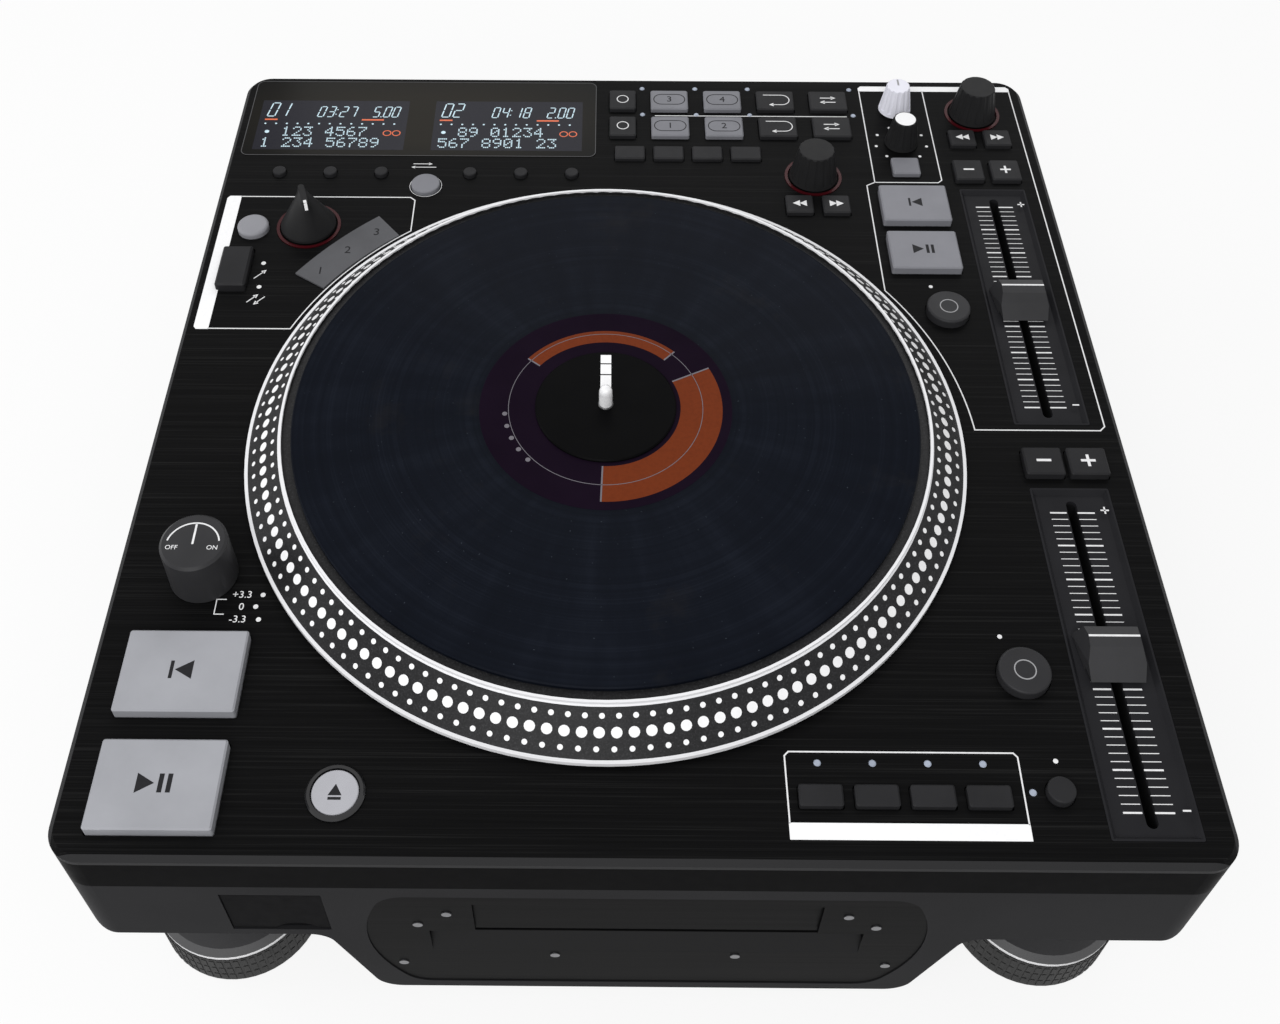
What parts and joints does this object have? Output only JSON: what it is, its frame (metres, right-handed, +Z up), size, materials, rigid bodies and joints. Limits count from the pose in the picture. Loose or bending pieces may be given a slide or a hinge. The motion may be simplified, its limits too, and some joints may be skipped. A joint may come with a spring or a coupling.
{
  "type": "dj media player",
  "caption": "Tabletop disc and media player with a motorised nine-inch scratch platter, pitch faders, a display window, rotary selectors and lit transport keys on four tall feet.",
  "frame": {"origin": "on the table, under the middle of the case", "axes": "+Z up, +Y towards the rear sockets, so that the disc slot faces -Y"},
  "size_m": [0.312, 0.325, 0.123],
  "materials": {
    "panel": "black, fine horizontal brushing, semi-gloss",
    "band": "smooth black",
    "case": "dark grey paint, satin",
    "fascia": "black, brushed, glossy",
    "window": "dark smoked glass",
    "readout": "dark display modules on a board",
    "board": "green circuit board",
    "metal_box": "pressed and folded steel",
    "steel": "dark plated steel",
    "drive_alloy": "pressed alloy drive case",
    "black_plastic": "fine moulded black",
    "key_light": "light grey, smooth",
    "key_mid": "mid grey, smooth",
    "key_dark": "charcoal, smooth",
    "knob_black": "black, semi-gloss",
    "knob_white": "white, semi-gloss",
    "ring_red": "unlit dark red light ring",
    "lens": "smoked translucent lens",
    "lamp": "clear lamp tips",
    "platter": "black cast dish, dotted wall, bright turned rings",
    "chrome": "bright turned ring",
    "spindle": "turned, bright",
    "felt": "thin black felt",
    "vinyl": "grooved black vinyl with a printed label",
    "foot_metal": "dark grey satin",
    "rubber": "matt black"
  },
  "bodies": {
    "chassis": {"top_panel": "panel", "upper_case": "band", "lower_case": "case", "front_fascia": "fascia", "media_bay": "black_plastic", "display_window": "window", "display_modules": "readout", "fader_trays": "black_plastic", "fader_tracks": "black_plastic", "knob_light_rings": "ring_red", "mode_lens": "lens", "indicator_lamps": "lamp", "eject_bezel": "black_plastic", "foot_treads": "rubber", "foot_rings": "chrome", "foot_stems": "foot_metal", "case_screws": "steel", "key_boards": "board", "main_board": "board", "power_supply": "metal_box", "disc_drive": "drive_alloy", "rear_sockets": "black_plastic", "platter_motor": "steel"},
    "platter": {"platter": "platter", "slip_mat": "felt", "spindle": "spindle"},
    "record": {"record": "vinyl", "centre_cap": "knob_black"},
    "media_door": {"media_door": "black_plastic"},
    "direction_rocker": {"direction_rocker": "key_dark"},
    "pitch_fader": {"pitch_fader": "black_plastic"},
    "second_pitch_fader": {"second_pitch_fader": "black_plastic"},
    "select_knob": {"select_knob": "knob_black"},
    "second_select_knob": {"second_select_knob": "knob_black"},
    "effect_knob": {"effect_knob": "knob_white"},
    "mix_knob": {"mix_knob": "knob_black"},
    "mode_selector_knob": {"mode_selector_knob": "knob_black"},
    "platter_knob": {"platter_knob": "knob_black"},
    "cue_key": {"cue_key": "key_light"},
    "play_key": {"play_key": "key_light"},
    "second_cue_key": {"second_cue_key": "key_light"},
    "second_play_key": {"second_play_key": "key_light"},
    "effect_key": {"effect_key": "key_mid"},
    "bend_minus_key": {"bend_minus_key": "key_dark"},
    "bend_plus_key": {"bend_plus_key": "key_dark"},
    "second_bend_minus_key": {"second_bend_minus_key": "key_dark"},
    "second_bend_plus_key": {"second_bend_plus_key": "key_dark"},
    "search_keys": {"search_keys": "key_dark"},
    "second_search_keys": {"second_search_keys": "key_dark"},
    "mode_keys": {"mode_keys": "key_dark"},
    "function_keys": {"function_keys": "key_dark"},
    "sample_pads": {"sample_pads": "key_mid"},
    "loop_keys": {"loop_keys": "key_dark"},
    "tap_button": {"tap_button": "key_dark"},
    "second_tap_button": {"second_tap_button": "key_dark"},
    "range_button": {"range_button": "key_dark"},
    "disc_mode_button": {"disc_mode_button": "key_mid"},
    "change_button": {"change_button": "key_mid"},
    "eject_button": {"eject_button": "key_light"},
    "display_buttons": {"display_buttons": "key_dark"}
  },
  "joints": [
    {"name": "platter_spin", "type": "hinge", "parent": "chassis", "child": "platter", "pos_m": [-0.0104, -0.0222, 0.099], "axis": [0, 0, 1], "continuous": true},
    {"name": "record_spin", "type": "hinge", "parent": "platter", "child": "record", "pos_m": [-0.0104, -0.0222, 0.099], "axis": [0, 0, 1], "continuous": true},
    {"name": "media_door_hinge", "type": "hinge", "parent": "chassis", "child": "media_door", "pos_m": [-0.1, -0.1614, 0.076], "axis": [-1, 0, 0], "range_deg": [0, 95]},
    {"name": "direction_rocker_tilt", "type": "hinge", "parent": "chassis", "child": "direction_rocker", "pos_m": [-0.1428, 0.0514, 0.093], "axis": [1, 0, 0], "range_deg": [-5, 5], "stiffness_Nm_per_rad": 0.02},
    {"name": "pitch_fader_slide", "type": "slide", "parent": "chassis", "child": "pitch_fader", "axis": [0, 1, 0], "range_m": [-0.0483, 0.0483]},
    {"name": "second_pitch_fader_slide", "type": "slide", "parent": "chassis", "child": "second_pitch_fader", "axis": [0, 1, 0], "range_m": [-0.0483, 0.0483]},
    {"name": "select_knob_turn", "type": "hinge", "parent": "chassis", "child": "select_knob", "pos_m": [0.0678, 0.1032, 0.099], "axis": [0, 0, 1], "continuous": true},
    {"name": "second_select_knob_turn", "type": "hinge", "parent": "chassis", "child": "second_select_knob", "pos_m": [0.1342, 0.1411, 0.099], "axis": [0, 0, 1], "continuous": true},
    {"name": "effect_knob_turn", "type": "hinge", "parent": "chassis", "child": "effect_knob", "pos_m": [0.1037, 0.1434, 0.099], "axis": [0, 0, 1], "range_deg": [-150, 150]},
    {"name": "mix_knob_turn", "type": "hinge", "parent": "chassis", "child": "mix_knob", "pos_m": [0.1037, 0.1229, 0.099], "axis": [0, 0, 1], "range_deg": [-150, 150]},
    {"name": "mode_selector_knob_turn", "type": "hinge", "parent": "chassis", "child": "mode_selector_knob", "pos_m": [-0.1197, 0.0744, 0.099], "axis": [0, 0, 1], "range_deg": [0, 77]},
    {"name": "platter_knob_turn", "type": "hinge", "parent": "chassis", "child": "platter_knob", "pos_m": [-0.1294, -0.076, 0.099], "axis": [0, 0, 1], "range_deg": [-90, 90]},
    {"name": "cue_key_press", "type": "slide", "parent": "chassis", "child": "cue_key", "axis": [0, 0, -1], "range_m": [0, 0.0012], "stiffness_N_per_m": 500, "springref_m": -0.001},
    {"name": "play_key_press", "type": "slide", "parent": "chassis", "child": "play_key", "axis": [0, 0, -1], "range_m": [0, 0.0012], "stiffness_N_per_m": 500, "springref_m": -0.001},
    {"name": "second_cue_key_press", "type": "slide", "parent": "chassis", "child": "second_cue_key", "axis": [0, 0, -1], "range_m": [0, 0.0012], "stiffness_N_per_m": 500, "springref_m": -0.001},
    {"name": "second_play_key_press", "type": "slide", "parent": "chassis", "child": "second_play_key", "axis": [0, 0, -1], "range_m": [0, 0.0012], "stiffness_N_per_m": 500, "springref_m": -0.001},
    {"name": "effect_key_press", "type": "slide", "parent": "chassis", "child": "effect_key", "axis": [0, 0, -1], "range_m": [0, 0.0012], "stiffness_N_per_m": 500, "springref_m": -0.001},
    {"name": "bend_minus_key_press", "type": "slide", "parent": "chassis", "child": "bend_minus_key", "axis": [0, 0, -1], "range_m": [0, 0.0012], "stiffness_N_per_m": 500, "springref_m": -0.001},
    {"name": "bend_plus_key_press", "type": "slide", "parent": "chassis", "child": "bend_plus_key", "axis": [0, 0, -1], "range_m": [0, 0.0012], "stiffness_N_per_m": 500, "springref_m": -0.001},
    {"name": "second_bend_minus_key_press", "type": "slide", "parent": "chassis", "child": "second_bend_minus_key", "axis": [0, 0, -1], "range_m": [0, 0.0012], "stiffness_N_per_m": 500, "springref_m": -0.001},
    {"name": "second_bend_plus_key_press", "type": "slide", "parent": "chassis", "child": "second_bend_plus_key", "axis": [0, 0, -1], "range_m": [0, 0.0012], "stiffness_N_per_m": 500, "springref_m": -0.001},
    {"name": "search_keys_press", "type": "slide", "parent": "chassis", "child": "search_keys", "axis": [0, 0, -1], "range_m": [0, 0.0012], "stiffness_N_per_m": 500, "springref_m": -0.001},
    {"name": "second_search_keys_press", "type": "slide", "parent": "chassis", "child": "second_search_keys", "axis": [0, 0, -1], "range_m": [0, 0.0012], "stiffness_N_per_m": 500, "springref_m": -0.001},
    {"name": "mode_keys_press", "type": "slide", "parent": "chassis", "child": "mode_keys", "axis": [0, 0, -1], "range_m": [0, 0.0012], "stiffness_N_per_m": 500, "springref_m": -0.001},
    {"name": "function_keys_press", "type": "slide", "parent": "chassis", "child": "function_keys", "axis": [0, 0, -1], "range_m": [0, 0.0012], "stiffness_N_per_m": 500, "springref_m": -0.001},
    {"name": "sample_pads_press", "type": "slide", "parent": "chassis", "child": "sample_pads", "axis": [0, 0, -1], "range_m": [0, 0.0012], "stiffness_N_per_m": 500, "springref_m": -0.001},
    {"name": "loop_keys_press", "type": "slide", "parent": "chassis", "child": "loop_keys", "axis": [0, 0, -1], "range_m": [0, 0.0012], "stiffness_N_per_m": 500, "springref_m": -0.001},
    {"name": "tap_button_press", "type": "slide", "parent": "chassis", "child": "tap_button", "axis": [0, 0, -1], "range_m": [0, 0.0012], "stiffness_N_per_m": 500, "springref_m": -0.001},
    {"name": "second_tap_button_press", "type": "slide", "parent": "chassis", "child": "second_tap_button", "axis": [0, 0, -1], "range_m": [0, 0.0012], "stiffness_N_per_m": 500, "springref_m": -0.001},
    {"name": "range_button_press", "type": "slide", "parent": "chassis", "child": "range_button", "axis": [0, 0, -1], "range_m": [0, 0.0012], "stiffness_N_per_m": 500, "springref_m": -0.001},
    {"name": "disc_mode_button_press", "type": "slide", "parent": "chassis", "child": "disc_mode_button", "axis": [0, 0, -1], "range_m": [0, 0.0012], "stiffness_N_per_m": 500, "springref_m": -0.001},
    {"name": "change_button_press", "type": "slide", "parent": "chassis", "child": "change_button", "axis": [0, 0, -1], "range_m": [0, 0.0012], "stiffness_N_per_m": 500, "springref_m": -0.001},
    {"name": "eject_button_press", "type": "slide", "parent": "chassis", "child": "eject_button", "axis": [0, 0, -1], "range_m": [0, 0.0012], "stiffness_N_per_m": 500, "springref_m": -0.001},
    {"name": "display_buttons_press", "type": "slide", "parent": "chassis", "child": "display_buttons", "axis": [0, 0, -1], "range_m": [0, 0.0012], "stiffness_N_per_m": 500, "springref_m": -0.001}
  ]
}
